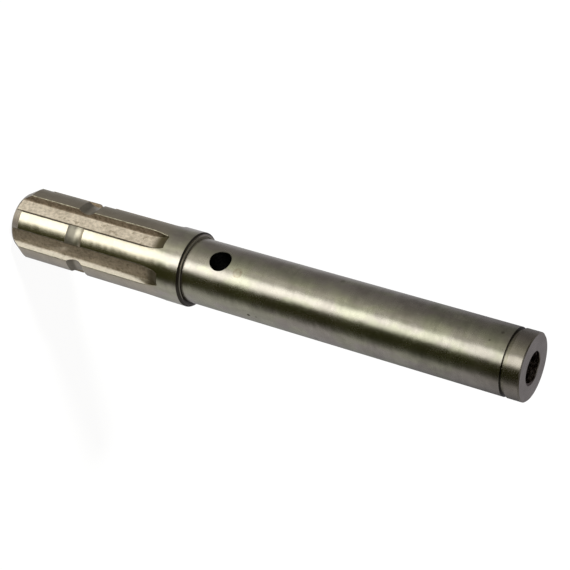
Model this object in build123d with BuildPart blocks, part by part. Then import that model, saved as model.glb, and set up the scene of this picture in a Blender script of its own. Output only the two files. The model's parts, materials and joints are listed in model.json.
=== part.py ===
"""Splined drive shaft, turned and hobbed from one steel bar and standing on its splined end.

Z = 0 is the splined end face, and +Z runs up the shaft's axis to the tapped end.
The cross hole runs along Y, through two opposite spline spaces, so a tooth is centred on +X.
Lengths are in millimetres and angles in degrees.
"""

from build123d import *
import os
from math import asin, degrees, radians, sqrt, tan

os.makedirs("parts", exist_ok=True)

# Bar: splined head, shoulder and plain journal
head_length = 96.7  # splined end face to the shoulder
journal_length = 163.3  # shoulder to the tapped end face
spline_diameter = 34.8
shoulder_height = 2.4  # so the journal is 30 mm across
nose_length = 6.5  # long lead-in at the splined end
nose_angle = 30.0
nose_edge_radius = 0.8
shoulder_chamfer = 0.8
journal_chamfer = 0.5

# Straight-sided splines, cut by a round cutter that lifts out before the shoulder
tooth_count = 6
tooth_width = 8.6
space_depth = 2.95  # crest of a tooth to the floor of a space
root_corner_radius = 0.4
collar_length = 11.3  # unbroken ring between the spaces' ends and the shoulder
cutter_radius = 22.0
crest_break = 0.2  # filed edge along each tooth

# Locking groove round all the teeth, for a yoke's spring pin
lock_groove_height = 38.4
lock_groove_radius = 6.5
lock_groove_depth = 1.8

# Grinding relief in the corner between the journal and the shoulder
relief_width = 0.6  # along the journal
relief_depth = 0.3  # into the journal
relief_face_height = 0.5  # up the shoulder's face
relief_face_depth = 0.2  # into the shoulder's face

# Cross hole for a driving pin
cross_hole_diameter = 10.0
cross_hole_rise = 16.9  # shoulder to the hole's axis
cross_hole_chamfer = 0.2

# Retaining-ring groove near the tapped end
ring_groove_depth = 1.05
ring_groove_width = 2.15
ring_groove_setback = 6.6  # tapped end face to the groove's nearer wall

# Hole for an M16 thread, at its core diameter
thread_core_diameter = 13.84
thread_hole_depth = 38.0
thread_mouth_chamfer = 0.3
drill_point_angle = 118.0

# Lathe centre hole in the splined end
centre_pilot_diameter = 4.0
centre_pilot_depth = 9.0
centre_mouth_diameter = 8.5
centre_cone_angle = 60.0

# Worked out from the sizes above
spline_radius = spline_diameter / 2
root_radius = spline_radius - space_depth
journal_radius = spline_radius - shoulder_height
nose_radius = spline_radius - nose_length * tan(radians(nose_angle))
total_length = head_length + journal_length
cross_hole_height = head_length + cross_hole_rise
thread_core_radius = thread_core_diameter / 2
centre_pilot_radius = centre_pilot_diameter / 2
centre_mouth_radius = centre_mouth_diameter / 2
cutter_overrun = 2.0  # how far a cutter passes clear of the surface it enters

# The cutter lifts out along its own rim, so the run-out is a chord of it
spline_length = head_length - collar_length
run_out_length = sqrt(cutter_radius**2 - (cutter_radius - space_depth) ** 2)
full_depth_length = spline_length - run_out_length


def flank_point(radius):
    """Where a space's upper flank crosses this radius, for a space centred on +X."""
    space_half_angle = 180 / tooth_count - degrees(asin(tooth_width / 2 / radius))
    return Vector(radius, 0).rotate(Axis.Z, space_half_angle)


# One space between two teeth: straight up the bar, then out along the cutter's rim
root_corner = flank_point(root_radius)
outer_corner = flank_point(spline_radius + cutter_overrun)

with BuildPart() as spline_space:
    with BuildSketch(Plane.XY.offset(full_depth_length)) as cutter_form:
        with BuildLine():
            ThreePointArc(
                (root_corner.X, -root_corner.Y),
                (root_radius, 0),
                (root_corner.X, root_corner.Y),
            )
            Polyline(
                (root_corner.X, root_corner.Y),
                (outer_corner.X, outer_corner.Y),
                (outer_corner.X, -outer_corner.Y),
                (root_corner.X, -root_corner.Y),
            )
        make_face()
        fillet(cutter_form.vertices().group_by(Axis.X)[0], root_corner_radius)
    extrude(amount=-full_depth_length - cutter_overrun)
    cutter_axis = Axis((root_radius + cutter_radius, 0, full_depth_length), (0, 1, 0))
    revolve(cutter_form.sketch, axis=cutter_axis, revolution_arc=90)

with BuildPart() as splined_shaft:
    # Turned outline, from the splined end face up to the tapped end face
    with BuildSketch(Plane.XZ) as turned_outline:
        with BuildLine():
            Polyline(
                (0, 0),
                (nose_radius, 0),
                (spline_radius, nose_length),
                (spline_radius, head_length - shoulder_chamfer),
                (spline_radius - shoulder_chamfer, head_length),
                (journal_radius, head_length),
                (journal_radius, total_length - journal_chamfer),
                (journal_radius - journal_chamfer, total_length),
                (0, total_length),
                (0, 0),
            )
        make_face()
        nose_edge = turned_outline.vertices().group_by(Axis.Y)[0].sort_by(Axis.X)[-1]
        fillet(nose_edge, nose_edge_radius)
    revolve(axis=Axis.Z)

    # Spline spaces, the first centred on +Y
    with PolarLocations(0, tooth_count, start_angle=90):
        add(spline_space.part, mode=Mode.SUBTRACT)

    # Filed edge where each space breaks through the outside of the head
    crest_edges = (
        splined_shaft.faces()
        .filter_by(GeomType.CYLINDER)
        .filter_by(lambda face: abs(face.radius - spline_radius) < crest_break)
        .edges()
        .filter_by(lambda edge: nose_length < edge.bounding_box().max.Z - crest_break <= spline_length)
        .filter_by(lambda edge: abs(edge.center().Y) > crest_break)
    )
    chamfer(crest_edges, crest_break)

    # Round-bottomed locking groove across all the teeth
    with BuildSketch(Plane.XZ):
        with Locations((spline_radius - lock_groove_depth + lock_groove_radius, lock_groove_height)):
            Circle(lock_groove_radius)
    revolve(axis=Axis.Z, mode=Mode.SUBTRACT)

    # Grinding relief in the corner, and the square-cut retaining-ring groove
    with BuildSketch(Plane.XZ):
        with Locations((journal_radius - relief_depth, head_length - relief_face_depth)):
            Rectangle(
                relief_depth + relief_face_height,
                relief_face_depth + relief_width,
                align=(Align.MIN, Align.MIN),
            )
        with Locations((journal_radius - ring_groove_depth, total_length - ring_groove_setback)):
            Rectangle(
                ring_groove_depth + cutter_overrun,
                ring_groove_width,
                align=(Align.MIN, Align.MAX),
            )
    revolve(axis=Axis.Z, mode=Mode.SUBTRACT)

    # Drilled hole in the top end, ready for its thread
    drill_point_height = thread_core_radius / tan(radians(drill_point_angle / 2))
    thread_hole_bottom = total_length - thread_hole_depth
    mouth_radius = thread_core_radius + thread_mouth_chamfer
    with BuildSketch(Plane.XZ):
        with BuildLine():
            Polyline(
                (0, total_length),
                (mouth_radius, total_length),
                (thread_core_radius, total_length - thread_mouth_chamfer),
                (thread_core_radius, thread_hole_bottom),
                (0, thread_hole_bottom - drill_point_height),
                (0, total_length),
            )
        make_face()
    revolve(axis=Axis.Z, mode=Mode.SUBTRACT)

    # Lathe centre hole in the splined end
    cone_tangent = tan(radians(centre_cone_angle / 2))
    cone_depth = (centre_mouth_radius - centre_pilot_radius) / cone_tangent
    pilot_point_height = centre_pilot_radius / tan(radians(drill_point_angle / 2))
    with BuildSketch(Plane.XZ):
        with BuildLine():
            Polyline(
                (0, 0),
                (centre_mouth_radius, 0),
                (centre_pilot_radius, cone_depth),
                (centre_pilot_radius, centre_pilot_depth),
                (0, centre_pilot_depth + pilot_point_height),
                (0, 0),
            )
        make_face()
    revolve(axis=Axis.Z, mode=Mode.SUBTRACT)

    # Cross hole, drilled from the -Y side, with its two mouths broken
    with Locations(Plane((0, -journal_radius, cross_hole_height), z_dir=(0, -1, 0))):
        Hole(cross_hole_diameter / 2)
    chamfer(splined_shaft.edges(Select.LAST).filter_by(GeomType.BSPLINE), cross_hole_chamfer)

splined_shaft.part.label = "splined_shaft"
export_step(splined_shaft.part, "parts/splined_shaft.step")
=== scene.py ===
"""Splined drive shaft: its finished steel piece, and the studio that it is seen in.

The frame gives the sizes that other parts depend on. The rest are written in millimetres and
used through MM, because Blender works in metres. Z = 0 is the splined end face. Azimuths on the
shaft are in degrees from +X, where a tooth is centred.
"""

import json
from math import asin, atan2, cos, degrees, hypot, pi, radians, sin, sqrt, tan

import bmesh
import bpy
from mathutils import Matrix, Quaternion, Vector


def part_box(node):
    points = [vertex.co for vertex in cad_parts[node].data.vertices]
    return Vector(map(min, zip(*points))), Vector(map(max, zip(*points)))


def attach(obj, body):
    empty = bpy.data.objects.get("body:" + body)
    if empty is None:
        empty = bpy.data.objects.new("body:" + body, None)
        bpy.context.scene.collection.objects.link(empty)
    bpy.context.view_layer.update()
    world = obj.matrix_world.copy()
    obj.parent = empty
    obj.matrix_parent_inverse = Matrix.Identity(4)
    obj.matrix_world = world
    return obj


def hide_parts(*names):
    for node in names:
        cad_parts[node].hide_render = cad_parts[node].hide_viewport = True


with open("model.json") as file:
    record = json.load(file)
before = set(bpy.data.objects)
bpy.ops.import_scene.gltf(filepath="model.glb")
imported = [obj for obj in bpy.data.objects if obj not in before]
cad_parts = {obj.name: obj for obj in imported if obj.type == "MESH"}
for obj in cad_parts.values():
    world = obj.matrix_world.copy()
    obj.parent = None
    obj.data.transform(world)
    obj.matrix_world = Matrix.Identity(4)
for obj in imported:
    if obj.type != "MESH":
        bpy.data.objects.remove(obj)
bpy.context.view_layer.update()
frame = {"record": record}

MM = 0.001
WELD = 0.002 * MM

# Facets. With this number round the bar, none of its lines meets the edge of a tooth or the side
# of the cross hole.
BAR_FACETS = 192
NOSE_EDGE_FACETS = 6
LOCK_GROOVE_FACETS = 16
ROOT_FACETS = 12
ROOT_CORNER_FACETS = 5
RUN_OUT_FACETS = 40
CROSS_HOLE_FACETS = 96
THREAD_FACETS = 72
SHARP = radians(25)

# The bar's materials, by slot. The spline spaces bring their own when they are cut.
GROUND, TURNED, DRILLED, WORN = range(4)

# Sizes that the frame gives
mounts = {mount["name"]: mount for mount in frame["record"]["mounts"]}
_, high_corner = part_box("splined_shaft")
total_length = high_corner.z
spline_radius = high_corner.x
journal_radius = mounts["plain_journal"]["dims"]["r_mm"] * MM
shoulder_height = mounts["shoulder"]["pos_m"][2]
cross_hole_height = mounts["cross_hole"]["pos_m"][2]
cross_hole_radius = mounts["cross_hole"]["dims"]["r_mm"] * MM
thread_core_radius = mounts["thread_hole"]["dims"]["r_mm"] * MM
ring_groove_height = mounts["ring_groove"]["pos_m"][2]

# Turned outline
nose_length = 6.5 * MM
nose_angle = radians(30)
nose_edge_radius = 0.8 * MM
nose_edge_sweep = pi / 2 - nose_angle
shoulder_chamfer = 0.8 * MM
journal_chamfer = 0.5 * MM
lock_groove_height = 38.4 * MM
lock_groove_radius = 6.5 * MM
lock_groove_depth = 1.8 * MM
relief_width = 0.6 * MM
relief_depth = 0.3 * MM
relief_face_height = 0.5 * MM
relief_face_depth = 0.2 * MM
ring_groove_depth = 1.05 * MM
ring_groove_width = 2.15 * MM
thread_mouth_chamfer = 0.3 * MM
thread_hole_depth = 38 * MM
drill_point_angle = radians(118)
centre_pilot_radius = 2 * MM
centre_pilot_depth = 9 * MM
centre_mouth_radius = 4.25 * MM
centre_cone_angle = radians(60)

# Splines
tooth_count = 6
tooth_width = 8.6 * MM
space_depth = 2.95 * MM
root_corner_radius = 0.4 * MM
collar_length = 11.3 * MM
cutter_radius = 22 * MM
cutter_overrun = 2 * MM
crest_break = 0.2 * MM

# Cross hole
hole_break = 0.2 * MM

# Thread in the end hole
thread_pitch = 2 * MM
thread_depth = 1.083 * MM
thread_tip_width = thread_pitch / 8
thread_flank_angle = radians(30)
thread_cutter_overlap = 0.3 * MM
thread_turns = 16

root_radius = spline_radius - space_depth
spline_length = shoulder_height - collar_length
run_out_length = sqrt(cutter_radius**2 - (cutter_radius - space_depth) ** 2)
full_depth_length = spline_length - run_out_length
lock_groove_rise = lock_groove_radius - lock_groove_depth
lock_groove_half_width = sqrt(lock_groove_radius**2 - lock_groove_rise**2)


# ---- modelling helpers ----------------------------------------------------------------------


def arc(centre, radius, start, end, steps):
    """Points of an arc in the plane of an outline, from one angle in degrees to another."""
    angles = [radians(start + (end - start) * step / steps) for step in range(steps + 1)]
    return [(centre[0] + radius * cos(angle), centre[1] + radius * sin(angle)) for angle in angles]


def draw(name, points):
    """A new piece that is a line through the points, drawn point by point, left in edit mode."""
    bpy.ops.object.select_all(action="DESELECT")
    bpy.ops.mesh.primitive_plane_add(size=MM)
    piece = bpy.context.object
    piece.name = piece.data.name = name
    bpy.ops.object.mode_set(mode="EDIT")
    bpy.ops.mesh.select_mode(type="VERT")
    bpy.ops.mesh.merge(type="CENTER")
    bpy.ops.transform.translate(value=points[0])
    for here, there in zip(points, points[1:]):
        step = Vector(there) - Vector(here)
        bpy.ops.mesh.extrude_vertices_move(TRANSFORM_OT_translate={"value": step})
    bpy.ops.mesh.select_all(action="SELECT")
    return piece


def close_up(piece):
    """Welds a drawn piece's seam and poles, turns its faces outwards and leaves edit mode."""
    bpy.ops.mesh.select_all(action="SELECT")
    bpy.ops.mesh.remove_doubles(threshold=WELD)
    bpy.ops.mesh.normals_make_consistent(inside=False)
    bpy.ops.object.mode_set(mode="OBJECT")
    return piece


def cut(body, cutter):
    """Takes the cutter out of the body, which keeps the cutter's material on the cut."""
    bpy.ops.object.select_all(action="DESELECT")
    bpy.context.view_layer.objects.active = body
    bpy.ops.object.modifier_add(type="BOOLEAN")
    modifier = body.modifiers[-1]
    modifier.operation = "DIFFERENCE"
    modifier.solver = "EXACT"
    modifier.material_mode = "TRANSFER"
    modifier.object = cutter
    bpy.ops.object.modifier_apply(modifier=modifier.name)
    bpy.data.objects.remove(cutter)


# ---- the shaft -------------------------------------------------------------------------------


def turned_bar():
    """The whole bar as it leaves the lathe, from one drill point round to the other."""
    pilot_tip = centre_pilot_depth + centre_pilot_radius / tan(drill_point_angle / 2)
    cone_depth = (centre_mouth_radius - centre_pilot_radius) / tan(centre_cone_angle / 2)
    nose_radius = spline_radius - nose_length * tan(nose_angle)
    nose_tangent = nose_edge_radius * tan(nose_edge_sweep / 2)
    nose_edge_centre = (nose_radius - nose_tangent, nose_edge_radius)
    groove_centre = (spline_radius + lock_groove_rise, lock_groove_height)
    half_angle = degrees(asin(lock_groove_half_width / lock_groove_radius))
    nose_edge = (nose_edge_centre, nose_edge_radius, -90, degrees(nose_edge_sweep) - 90)
    lock_groove = (groove_centre, lock_groove_radius, 180 + half_angle, 180 - half_angle)
    groove_low = ring_groove_height - ring_groove_width / 2
    groove_high = ring_groove_height + ring_groove_width / 2
    hole_bottom = total_length - thread_hole_depth
    hole_tip = hole_bottom - thread_core_radius / tan(drill_point_angle / 2)
    outline = [
        (0, pilot_tip),
        (centre_pilot_radius, centre_pilot_depth),
        (centre_pilot_radius, cone_depth),
        (centre_mouth_radius, 0),
        *arc(*nose_edge, NOSE_EDGE_FACETS),
        (spline_radius, nose_length),
        *arc(*lock_groove, LOCK_GROOVE_FACETS),
        (spline_radius, shoulder_height - shoulder_chamfer),
        (spline_radius - shoulder_chamfer, shoulder_height),
        (journal_radius + relief_face_height, shoulder_height),
        (journal_radius + relief_face_height, shoulder_height - relief_face_depth),
        (journal_radius - relief_depth, shoulder_height - relief_face_depth),
        (journal_radius - relief_depth, shoulder_height + relief_width),
        (journal_radius, shoulder_height + relief_width),
        (journal_radius, groove_low),
        (journal_radius - ring_groove_depth, groove_low),
        (journal_radius - ring_groove_depth, groove_high),
        (journal_radius, groove_high),
        (journal_radius, total_length - journal_chamfer),
        (journal_radius - journal_chamfer, total_length),
        (thread_core_radius + thread_mouth_chamfer, total_length),
        (thread_core_radius, total_length - thread_mouth_chamfer),
        (thread_core_radius, hole_bottom),
        (0, hole_tip),
    ]
    bar = draw("shaft_steel", [(radius, 0, height) for radius, height in outline])
    bpy.ops.mesh.spin(steps=BAR_FACETS, angle=2 * pi, center=(0, 0, 0), axis=(0, 0, 1))
    return close_up(bar)


def flank_point(radius, offset=0.0):
    """Where a line beside the next tooth's flank, that far out of the steel, meets a radius."""
    aside = tooth_width / 2 + offset
    along = sqrt(radius**2 - aside**2)
    turn = pi / tooth_count
    return along * cos(turn) + aside * sin(turn), along * sin(turn) - aside * cos(turn)


def space_cutter():
    """All the spline spaces as one cutter: straight along the bar, then out along the hob's rim."""
    corner_centre = flank_point(root_radius + root_corner_radius, root_corner_radius)
    corner_angle = degrees(atan2(corner_centre[1], corner_centre[0]))
    flank_angle = 90 + 180 / tooth_count
    root_corner = (corner_centre, root_corner_radius, 180 + corner_angle, flank_angle)
    upper = [
        *arc(*root_corner, ROOT_CORNER_FACETS),
        flank_point(spline_radius + cutter_overrun),
    ]
    floor = arc((0, 0), root_radius, -corner_angle, corner_angle, ROOT_FACETS)[1:-1]
    lower = [(x, -y) for x, y in reversed(upper)]
    form = [(x, y, -cutter_overrun) for x, y in [*lower, *floor, *upper, lower[0]]]

    cutter = draw("space_cutter", form)
    bpy.ops.mesh.remove_doubles(threshold=WELD)
    bpy.ops.mesh.edge_face_add()
    straight = (0, 0, full_depth_length + cutter_overrun)
    bpy.ops.mesh.extrude_region_move(TRANSFORM_OT_translate={"value": straight})
    bpy.ops.mesh.spin(
        steps=RUN_OUT_FACETS,
        angle=-pi / 2,
        center=(root_radius + cutter_radius, 0, full_depth_length),
        axis=(0, 1, 0),
    )
    bpy.ops.mesh.select_all(action="SELECT")
    bpy.ops.mesh.spin(
        steps=tooth_count - 1,
        dupli=True,
        angle=2 * pi * (tooth_count - 1) / tooth_count,
        center=(0, 0, 0),
        axis=(0, 0, 1),
    )
    bpy.ops.mesh.select_all(action="SELECT")
    bpy.ops.transform.rotate(value=pi / tooth_count, orient_axis="Z", center_override=(0, 0, 0))
    cutter.data.materials.append(milled_steel)
    return close_up(cutter)


def cross_drill():
    """A drill's path right across the journal, along Y."""
    bpy.ops.object.select_all(action="DESELECT")
    bpy.ops.mesh.primitive_cylinder_add(
        vertices=CROSS_HOLE_FACETS,
        radius=cross_hole_radius,
        depth=2 * journal_radius + 2 * cutter_overrun,
        location=(0, 0, cross_hole_height),
        rotation=(pi / 2, 0, 0),
    )
    drill = bpy.context.object
    bpy.ops.object.transform_apply(location=True, rotation=True, scale=True)
    drill.data.materials.append(drilled_steel)
    return drill


def thread_cutter():
    """The tap's path: a V-groove that climbs out through the mouth of the end hole."""
    tip_half_width = thread_tip_width / 2
    tip = thread_core_radius + thread_depth
    foot = thread_core_radius - thread_cutter_overlap
    foot_half_width = tip_half_width + (tip - foot) * tan(thread_flank_angle)
    start = total_length + thread_pitch - thread_turns * thread_pitch
    groove = [
        (foot, 0, start - foot_half_width),
        (tip, 0, start - tip_half_width),
        (tip, 0, start + tip_half_width),
        (foot, 0, start + foot_half_width),
        (foot, 0, start - foot_half_width),
    ]
    cutter = draw("thread_cutter", groove)
    bpy.ops.mesh.remove_doubles(threshold=WELD)
    bpy.ops.object.mode_set(mode="OBJECT")
    bpy.ops.object.modifier_add(type="SCREW")
    screw = cutter.modifiers[-1]
    screw.angle = 2 * pi
    screw.screw_offset = thread_pitch
    screw.iterations = thread_turns
    screw.steps = screw.render_steps = THREAD_FACETS
    screw.use_smooth_shade = False
    bpy.ops.object.modifier_apply(modifier=screw.name)
    bpy.ops.object.mode_set(mode="EDIT")
    bpy.ops.mesh.select_all(action="SELECT")
    bpy.ops.mesh.fill_holes(sides=4)
    cutter.data.materials.append(drilled_steel)
    return close_up(cutter)


def break_edges(piece, width, material, wanted):
    """Bevels the sharp edges whose two ends pass a test, and gives the bevels a material slot."""
    bpy.ops.object.select_all(action="DESELECT")
    bpy.context.view_layer.objects.active = piece
    piece.select_set(True)
    bpy.ops.object.mode_set(mode="EDIT")
    bpy.ops.mesh.select_mode(type="EDGE")
    bpy.ops.mesh.select_all(action="DESELECT")
    mesh = bmesh.from_edit_mesh(piece.data)
    for edge in mesh.edges:
        ends = [vert.co for vert in edge.verts]
        if edge.calc_face_angle(0) > SHARP and wanted(*ends):
            edge.select_set(True)
    bmesh.update_edit_mesh(piece.data)
    bpy.ops.mesh.bevel(
        offset=width,
        offset_type="OFFSET",
        segments=1,
        clamp_overlap=False,
        material=material,
    )
    bpy.ops.object.mode_set(mode="OBJECT")


def on_crest(start, end):
    """An edge of a tooth's crest, short of the run-outs, and not one of the bar's own circles."""
    ends = (start, end)
    groove_edges = [lock_groove_height + side * lock_groove_half_width for side in (-1, 1)]
    circles = [nose_length, *groove_edges]
    circle = any(all(abs(point.z - height) < WELD for point in ends) for height in circles)
    low = all(nose_length - WELD < point.z < spline_length - MM for point in ends)
    out = all(abs(hypot(point.x, point.y) - spline_radius) < 3 * WELD for point in ends)
    return low and out and not circle


def on_hole_rim(start, end):
    """An edge where the cross hole breaks out of the journal."""
    return all(
        hypot(point.x, point.z - cross_hole_height) < cross_hole_radius + WELD
        and hypot(point.x, point.y) > journal_radius - 3 * WELD
        for point in (start, end)
    )


def paint_by_place(bar):
    """Outside diameters are ground, holes are drilled, and everything else is turned."""
    for material in (ground_steel, turned_steel, drilled_steel, worn_steel):
        bar.data.materials.append(material)
    near = 0.05 * MM
    for face in bar.data.polygons:
        radius = hypot(face.center.x, face.center.y)
        off_ground = min(abs(radius - spline_radius), abs(radius - journal_radius))
        tapped_half = face.center.z > total_length / 2
        hole_radius = thread_core_radius + near if tapped_half else centre_mouth_radius
        if off_ground < near and abs(face.normal.z) < 0.01:
            face.material_index = GROUND
        elif radius < hole_radius:
            face.material_index = DRILLED
        else:
            face.material_index = TURNED


def shaft_steel():
    """The finished shaft: turned, hobbed, cross drilled and tapped."""
    bar = turned_bar()
    paint_by_place(bar)
    cut(bar, space_cutter())
    break_edges(bar, crest_break, WORN, on_crest)
    cut(bar, cross_drill())
    break_edges(bar, hole_break, DRILLED, on_hole_rim)
    cut(bar, thread_cutter())
    bpy.ops.object.mode_set(mode="EDIT")
    bpy.ops.mesh.select_all(action="SELECT")
    bpy.ops.mesh.remove_doubles(threshold=WELD)
    bpy.ops.mesh.dissolve_degenerate(threshold=WELD / 2)
    bpy.ops.object.mode_set(mode="OBJECT")
    bpy.ops.object.select_all(action="DESELECT")
    bar.select_set(True)
    bpy.ops.object.shade_smooth_by_angle(angle=SHARP)
    return bar


# ---- finishes --------------------------------------------------------------------------------


class Wire:
    """An output socket that takes part in plain arithmetic and can feed further nodes."""

    def __init__(self, socket):
        self.socket = socket

    def node(self, kind, settings=None, values=None, output=0):
        """A further node: its settings come first, then the values or links of its sockets."""
        tree = self.socket.id_data
        made = tree.nodes.new(kind)
        for name, value in (settings or {}).items():
            if name == "stops":
                ramp = made.color_ramp
                while len(ramp.elements) < len(value):
                    ramp.elements.new(0.5)
                for element, (position, colour) in zip(ramp.elements, value):
                    element.position = position
                    element.color = (*colour, 1)
            else:
                setattr(made, name, value)
        for name, value in (values or {}).items():
            if isinstance(value, Wire):
                tree.links.new(value.socket, made.inputs[name])
            else:
                made.inputs[name].default_value = value
        return Wire(made.outputs[output])

    def math(self, operation, *others):
        """This number, and any others after it, through one operation."""
        values = dict(enumerate((self, *others)))
        return self.node("ShaderNodeMath", {"operation": operation}, values)

    def __add__(self, other):
        return self.math("ADD", other)

    def __sub__(self, other):
        return self.math("SUBTRACT", other)

    def __rsub__(self, other):
        return self.node("ShaderNodeMath", {"operation": "SUBTRACT"}, {0: other, 1: self})

    def __mul__(self, other):
        return self.math("MULTIPLY", other)

    def __truediv__(self, other):
        return self.math("DIVIDE", other)

    def __pow__(self, other):
        return self.math("POWER", other)

    __radd__ = __add__
    __rmul__ = __mul__

    def between(self, low, high, ease=True):
        """0 where this is at low or past it, 1 at high."""
        kind = "SMOOTHSTEP" if ease else "LINEAR"
        values = {"Value": self, "From Min": low, "From Max": high}
        return self.node("ShaderNodeMapRange", {"interpolation_type": kind}, values)

    def stretched(self, *factors):
        """This place, stretched along each axis."""
        settings = {"operation": "MULTIPLY"}
        return self.node("ShaderNodeVectorMath", settings, {0: self, 1: factors})

    def dimmed(self, factor):
        """This colour, so many times as bright."""
        settings = {"operation": "SCALE"}
        return self.node("ShaderNodeVectorMath", settings, {0: self, "Scale": factor})

    def noise(self, *factors, detail=3.0, rough=0.55):
        """Noise at this place, with so many features to the metre along each axis."""
        values = {"Vector": self.stretched(*factors), "Scale": 1.0}
        values.update({"Detail": detail, "Roughness": rough})
        return self.node("ShaderNodeTexNoise", None, values)

    def tint(self, first, second):
        """The first colour where this is 0 and the second where it is 1."""
        ends = [end if isinstance(end, Wire) else (*end, 1) for end in (first, second)]
        values = {0: self, 6: ends[0], 7: ends[1]}
        return self.node("ShaderNodeMix", {"data_type": "RGBA"}, values, output=2)


def parts_of(place):
    """The x, y and z of a place on the shaft, and its radius from the axis."""
    kind = "ShaderNodeSeparateXYZ"
    x, y, z = (place.node(kind, None, {0: place}, output=axis) for axis in range(3))
    radius = (x * x + y * y) ** 0.5
    return x, y, z, radius


def finish(name, make, **constants):
    """A steel finish, whose make gives colour, roughness, metallic, relief and depth of relief."""
    material = bpy.data.materials.new(name)
    material.use_nodes = True
    tree = material.node_tree
    shader = tree.nodes["Principled BSDF"]
    for socket, value in constants.items():
        shader.inputs[socket.replace("_", " ")].default_value = value
    place = Wire(tree.nodes.new("ShaderNodeTexCoord").outputs["Object"])
    colour, rough, metal, relief, depth = make(place)
    tree.links.new(colour.socket, shader.inputs["Base Color"])
    tree.links.new(rough.socket, shader.inputs["Roughness"])
    if isinstance(metal, Wire):
        tree.links.new(metal.socket, shader.inputs["Metallic"])
    else:
        shader.inputs["Metallic"].default_value = metal
    values = {"Strength": 1.0, "Distance": depth, "Height": relief}
    bump = relief.node("ShaderNodeBump", None, values)
    tree.links.new(bump.socket, shader.inputs["Normal"])
    return material


def spot(place, height, azimuth, size, soft=0.4):
    """1 at a spot on the journal, 0 away from it: height and size in mm, azimuth in degrees."""
    angle = radians(azimuth)
    centre = (journal_radius * cos(angle), journal_radius * sin(angle), height * MM)
    settings = {"operation": "DISTANCE"}
    gap = place.node("ShaderNodeVectorMath", settings, {0: place, 1: centre}, output=1)
    return gap.between(size * MM, size * soft * MM)


def facing(place, azimuth, spread, full=0.0):
    """1 within the full angle of an azimuth, 0 further round than the spread, all in degrees."""
    x, y, _, radius = parts_of(place)
    angle = radians(azimuth)
    towards = (x * cos(angle) + y * sin(angle)) / radius
    return towards.between(cos(radians(spread)), cos(radians(full)))


def smear(place, height, azimuth, width, spread):
    """1 on a smear round the journal: height and width in mm, azimuth and spread in degrees."""
    _, _, z, _ = parts_of(place)
    along = (z - height * MM).math("ABSOLUTE").between(width * MM, width * 0.3 * MM)
    return facing(place, azimuth, spread) * along


def dark_marks(place):
    """Oil specks and smears on the journal: 1 where they are darkest."""
    specks = (
        spot(place, 131.7, -4.5, 0.95) * 1.2
        + spot(place, 135.6, -5.3, 0.6) * 0.6
        + spot(place, 171, -121, 1.7, 0.2) * 0.4
        + spot(place, 243.5, -85.6, 0.6) * 0.6
        + spot(place, 247.1, -105.8, 1.0) * 0.45
    )
    smears = (
        smear(place, 149.5, -113, 0.9, 26) * 0.12
        + smear(place, 165, 8, 1.2, 7) * 0.3
        + smear(place, 190, -8, 3.0, 15) * 0.1
        + smear(place, 218, -11, 4.0, 13) * 0.2
    )
    return (specks + smears).math("MINIMUM", 1.0)


def dried_drop(place):
    """The brown rim that a drop of coolant left beside the cross hole."""
    height, azimuth = 124.2, -76.5
    dirt_and_shade = place.noise(900, 900, 900, detail=2).between(0.45, 0.6)
    rim = spot(place, height, azimuth, 2.6, 0.75) - spot(place, height, azimuth, 1.6, 0.6) * 0.5
    return rim * (dirt_and_shade * 0.4 + 0.35)


def ground(place):
    """Ground and oiled: a smeared film in warm and cool patches, and faint marks round the bar."""
    _, _, z, _ = parts_of(place)
    lines = place.noise(40, 40, 1500, detail=4, rough=0.7)
    film = place.noise(150, 150, 90, detail=6, rough=0.6)
    large, small = place.noise(60, 60, 34, detail=3), place.noise(130, 130, 85, detail=2)
    patches = large * 0.62 + small * 0.38 + z.between(215 * MM, 245 * MM) * 0.06
    thin = (film * 0.85 + lines * 0.15).between(0.34, 0.66)
    olive = thin.tint((0.52, 0.505, 0.435), (0.68, 0.66, 0.565))
    lilac = thin.tint((0.52, 0.475, 0.455), (0.65, 0.605, 0.58))
    brown = thin.tint((0.57, 0.515, 0.445), (0.67, 0.61, 0.53))
    rosy = thin.tint((0.5, 0.45, 0.42), (0.56, 0.51, 0.48))
    colour = patches.between(0.45, 0.55).tint(olive, lilac)
    colour = z.between(88 * MM, 80 * MM).tint(colour, brown)
    colour = z.between(252 * MM, 254 * MM).tint(colour, rosy)
    colour = dark_marks(place).tint(colour, (0.09, 0.08, 0.05))
    colour = dried_drop(place).tint(colour, (0.42, 0.33, 0.26))
    rough = 0.12 + z.between(90 * MM, 105 * MM) * 0.09 + film * 0.1 + lines * 0.02
    long_waves = place.noise(55, 55, 80, detail=2) * 4.2
    short_waves = place.noise(150, 150, 230, detail=1.3) * 2.0
    return colour, rough, 1.0, long_waves + short_waves + lines * 0.05, 0.045 * MM


def ring_groove_shade(z, film):
    """Painted shade in the ring groove: a dark line along each wall, and little between them."""
    from_wall = z - (ring_groove_height - ring_groove_width / 2)
    from_far_wall = ring_groove_width - from_wall
    inside = from_wall.between(-0.1 * MM, 0.0) * from_far_wall.between(-0.2 * MM, 0.0)
    line = from_wall.between(0.14 * MM, 0.04 * MM) * 0.85
    far_line = from_far_wall.between(0.3 * MM, 0.1 * MM) * 0.6
    return inside * (0.05 + line + far_line + film * 0.2)


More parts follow.
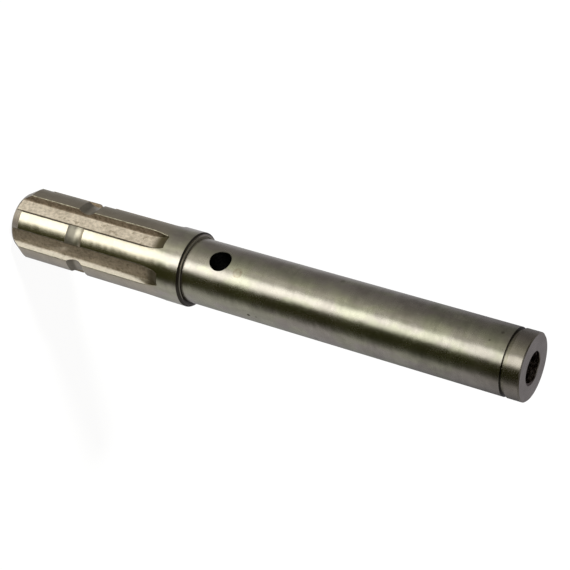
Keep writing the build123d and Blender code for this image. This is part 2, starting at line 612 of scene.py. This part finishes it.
def turned(place):
    """Turned with a pointed tool: fine rings that shine unevenly, under a brown film."""
    _, _, z, radius = parts_of(place)
    ring_values = {"W": (radius + z) * 3500, "Scale": 1.0, "Detail": 3.0}
    rings = radius.node("ShaderNodeTexNoise", {"noise_dimensions": "1D"}, ring_values)
    film = place.noise(150, 150, 150, detail=5)
    shade = (film * 0.7 + rings * 0.3).between(0.3, 0.7)
    colour = shade.tint((0.5, 0.455, 0.39), (0.64, 0.59, 0.51))

    # The shoulder: a painted dark reflection on its chamfer, painted shade in its inner corner, and
    # painted shade on its low side
    past = z - shoulder_height
    chamfer = past.between(-shoulder_chamfer, -0.7 * MM) * past.between(-0.02 * MM, -0.15 * MM)
    # Painted shade along the ring groove's walls and a painted dark reflection on the shoulder
    # chamfer, both near black
    painted_dark_lines = ring_groove_shade(z, film) + chamfer * (0.7 + film * 0.2)
    colour = painted_dark_lines.tint(colour, (0.05, 0.045, 0.04))
    # Painted shade in the shoulder's inner corner, which is also made less metallic
    corner = past.between(0.3 * MM, 0.2 * MM) * past.between(-0.4 * MM, -0.3 * MM)
    corner = corner * (radius - journal_radius).between(1.0 * MM, 0.8 * MM)
    colour = corner.tint(colour, (0.042, 0.039, 0.031))
    # Painted shade on the shoulder's low side
    shaded_low_side = past.between(-0.3 * MM, -0.1 * MM) * past.between(1.0 * MM, 0.5 * MM)
    shaded_low_side = shaded_low_side * facing(place, 10, 70, 20)
    colour = (shaded_low_side * 0.8).tint(colour, (0.09, 0.085, 0.075))

    # The locking groove was left rougher by its round tool
    half_width = lock_groove_half_width + 0.1 * MM
    groove = (z - lock_groove_height).math("ABSOLUTE").between(half_width, half_width - 0.1 * MM)
    rougher = film.between(0.3, 0.7).tint((0.46, 0.42, 0.37), (0.62, 0.57, 0.5))
    colour = groove.tint(colour, rougher)
    rough = 0.2 + rings * 0.1 + groove * 0.07
    return colour, rough, 1.0 - corner * 0.9 - groove * 0.03, rings, 0.008 * MM


def worn(place):
    """Edges that were broken by hand and rounded by use: uneven, with painted shade darkening the
    edge of one tooth.
    """
    rub = place.noise(900, 900, 400, detail=4)
    colour = rub.between(0.35, 0.65).tint((0.27, 0.24, 0.19), (0.46, 0.42, 0.35))
    # Painted shade: a dark line along the crest edge of one tooth
    colour = facing(place, -77, 14, 8).tint(colour, (0.06, 0.05, 0.035))
    return colour, 0.52 - rub * 0.2, 1.0, rub, 0.03 * MM


def milled(place):
    """Hobbed: matt and pale with fine mottles and pits, and painted shade darkening the run-outs.

    One flank of each space is darkened brown with painted shade, and the other is lightened with
    painted light; painted shade also darkens the root corner beside one tooth.
    """
    x, y, z, radius = parts_of(place)
    mottle = place.noise(750, 750, 520, detail=6, rough=0.75)
    cloud = place.noise(160, 160, 90, detail=4)
    shade = (mottle * 0.75 + cloud * 0.25).between(0.36, 0.62)
    colour = shade.tint((0.44, 0.385, 0.305), (0.74, 0.665, 0.55))

    # Distances from the flanks of the teeth on either side
    pitch_angle = 2 * pi / tooth_count
    turn = (y.math("ARCTAN2", x) * (1 / pitch_angle)).math("FRACT") * pitch_angle
    from_shaded_flank = radius * turn.math("SINE") - tooth_width / 2
    from_lit_flank = radius * (pitch_angle - turn).math("SINE") - tooth_width / 2

    # Painted shade: the flank that is turned from the lamp is darkened brown
    flank_shade = mottle.between(0.35, 0.65).tint((0.15, 0.115, 0.075), (0.34, 0.275, 0.2))
    colour = from_shaded_flank.between(0.5 * MM, 0.2 * MM).tint(colour, flank_shade)
    pits = place.noise(420, 420, 300, detail=3).between(0.4, 0.33)
    colour = (pits * 0.6).tint(colour, (0.26, 0.21, 0.14))
    # Painted light: the other flank, which faces the lamp, is lightened above the root corner
    above_corner = (radius - root_radius).between(0.3 * MM, 0.7 * MM)
    flank_light = from_lit_flank.between(0.3 * MM, 0.1 * MM) * above_corner
    colour = (flank_light * (0.4 + mottle * 0.4)).tint(colour, (0.85, 0.81, 0.7))
    # Painted shade: a dark line in the root corner beside one tooth
    dirt_and_shade = from_lit_flank.between(0.5 * MM, 0.25 * MM) * facing(place, -78, 14, 9)
    colour = dirt_and_shade.tint(colour, (0.07, 0.055, 0.035))
    # Painted shade: the run-outs darken towards their ends, where the floor tilts away from the
    # lamp
    run_out_shade = (z + (mottle - 0.5) * (1.2 * MM)).between(77.0 * MM, 82.0 * MM)
    colour = run_out_shade.tint(colour, (0.12, 0.1, 0.05))
    return colour, 0.62 - mottle * 0.2, 0.15, mottle, 0.06 * MM


def drilled(place):
    """The drilled and tapped holes: near black with painted shade inside the holes, greasy mottles,
    and browner and less dark in the thread.
    """
    _, _, z, _ = parts_of(place)
    mottle = place.noise(700, 700, 700, detail=5)
    # Painted shade: the walls of the holes are near black, less so in the thread
    plain = mottle.between(0.3, 0.7).tint((0.02, 0.018, 0.016), (0.09, 0.085, 0.075))
    tapped = mottle.between(0.35, 0.65).tint((0.08, 0.055, 0.05), (0.4, 0.33, 0.31))
    colour = z.between(200 * MM, 210 * MM).tint(plain, tapped)
    return colour, 0.35 + mottle * 0.2, 1.0, mottle, 0.03 * MM


ground_steel = finish("ground_steel", ground, Anisotropic=0.7, Anisotropic_Rotation=0.25)
turned_steel = finish("turned_steel", turned)
worn_steel = finish("worn_steel", worn)
milled_steel = finish("milled_steel", milled)
drilled_steel = finish("drilled_steel", drilled)

shaft = shaft_steel()
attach(shaft, "root")
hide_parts("splined_shaft")


# ---- the studio ------------------------------------------------------------------------------


camera_azimuth = radians(-62.6)


def camera():
    """The camera looks down at the standing shaft and is turned so that the shaft lies across."""
    place = Vector((289.687, -568.313, 457.851)) * MM
    aim = Vector((-3.861, -2.001, 140.889)) * MM
    turn = radians(106.0706)
    bpy.ops.object.camera_add(location=place)
    made = bpy.context.object
    made.rotation_mode = "QUATERNION"
    made.rotation_quaternion = (aim - place).to_track_quat("-Z", "Y") @ Quaternion((0, 0, 1), turn)
    made.data.sensor_width = 36
    made.data.lens = 102.0723
    made.data.clip_start = 0.01
    made.data.clip_end = 50
    return made


def white_floor():
    """A pale floor that glows almost to white, so that only a faint shadow shows on it."""
    bpy.ops.object.select_all(action="DESELECT")
    bpy.ops.mesh.primitive_plane_add(size=20)
    floor = bpy.context.object
    floor.name = "studio_floor"
    floor.visible_glossy = floor.visible_diffuse = False
    paint = bpy.data.materials.new("studio_floor")
    paint.use_nodes = True
    shader = paint.node_tree.nodes["Principled BSDF"]
    shader.inputs["Base Color"].default_value = (0.05, 0.05, 0.05, 1)
    shader.inputs["Roughness"].default_value = 1
    shader.inputs["Specular IOR Level"].default_value = 0
    shader.inputs["Emission Color"].default_value = (1, 1, 1, 1)
    shader.inputs["Emission Strength"].default_value = 0.95
    floor.data.materials.append(paint)


def room():
    """The room: what stands round the shaft shows in the steel, and dim light fills the rest."""
    world = bpy.data.worlds.new("studio")
    world.use_nodes = True
    tree = world.node_tree
    x, y, z, _ = parts_of(Wire(tree.nodes.new("ShaderNodeTexCoord").outputs["Generated"]))
    side, front = sin(camera_azimuth), cos(camera_azimuth)
    across = y * front - x * side
    along = x * front + y * side

    # The screens stand a few degrees further round below the head and above the level
    shift = z.between(-0.485, -0.5) * 10 + z.between(-0.2, 0.2) * 6
    shift = shift - z.between(-0.45, -0.475) * 2.5
    turns = across.math("ARCTAN2", along) / (2 * pi) + shift / 360 + 0.5
    ring = turns.node("ShaderNodeValToRGB", {"stops": screen_stops()}, {"Fac": turns})

    underfoot = across.between(0.13, -0.1, ease=False).tint((0.12, 0.1, 0.08), (0.46, 0.43, 0.37))
    below = z.between(-0.95, -0.985).tint(ring, underfoot)
    below = below.dimmed(1 - z.between(-0.42, -0.3) * 0.66)
    above = along.between(-0.62, -0.88).tint(ring.dimmed(0.43), (0.133, 0.13, 0.145))
    above = z.between(0.68, 0.76).tint(above, (0.022, 0.02, 0.015))
    above = z.between(0.915, 0.95).tint(above, (0.14, 0.138, 0.145))
    reflected = z.between(-0.1, 0.05).tint(below, above)
    ambient = z.between(-0.6, 0.4).tint((0.1, 0.09, 0.07), (0.3, 0.26, 0.21))

    glossy = Wire(tree.nodes.new("ShaderNodeLightPath").outputs["Is Glossy Ray"])
    background = tree.nodes["Background"]
    tree.links.new(glossy.tint(ambient, reflected).socket, background.inputs["Color"])
    tree.links.new((glossy * 0.75 + 1.0).socket, background.inputs["Strength"])
    bpy.context.scene.world = world


def lamp():
    """A soft lamp over the camera's shoulder, for what isn't mirrored in the steel."""
    height, azimuth = radians(58), camera_azimuth - radians(42)
    bpy.ops.object.light_add(type="SUN", rotation=(0, pi / 2 - height, azimuth))
    made = bpy.context.object
    made.data.angle = radians(6)
    made.data.energy = 5.25
    made.data.color = (1, 0.99, 0.96)
    made.visible_glossy = False


def screen_stops():
    """What stands round the shaft: colours by azimuth from the camera, in degrees."""
    screens = [
        # A pale wall behind the shaft, and on the upper side
        (-180, (0.38, 0.38, 0.38)),
        (-166, (0.29, 0.29, 0.29)),
        (-140, (0.225, 0.225, 0.225)),
        (-126, (0.145, 0.143, 0.136)),
        (-112, (0.118, 0.114, 0.105)),
        (-85, (0.128, 0.123, 0.108)),
        (-64, (0.175, 0.174, 0.142)),
        (-48, (0.25, 0.25, 0.198)),
        (-34, (0.41, 0.41, 0.33)),
        (-23, (0.345, 0.345, 0.28)),
        # The strip of light
        (-17, (0.66, 0.67, 0.58)),
        (-13, (1.2, 1.22, 1.08)),
        (8, (1.3, 1.32, 1.17)),
        (14.5, (0.74, 0.75, 0.64)),
        # The dark screen
        (19, (0.17, 0.17, 0.12)),
        (24, (0.052, 0.052, 0.027)),
        (32, (0.03, 0.03, 0.012)),
        (40, (0.021, 0.0215, 0.0065)),
        (63, (0.019, 0.0195, 0.006)),
        (72, (0.052, 0.052, 0.039)),
        # The wall on the lower side
        (80, (0.195, 0.194, 0.171)),
        (88, (0.262, 0.26, 0.239)),
        (125, (0.242, 0.24, 0.234)),
        (145, (0.2, 0.2, 0.2)),
        (164, (0.16, 0.16, 0.16)),
        (180, (0.38, 0.38, 0.38)),
    ]
    return [((azimuth + 180) / 360, colour) for azimuth, colour in screens]


bpy.context.scene.camera = camera()
bpy.context.scene.view_settings.view_transform = "Standard"
white_floor()
room()
lamp()
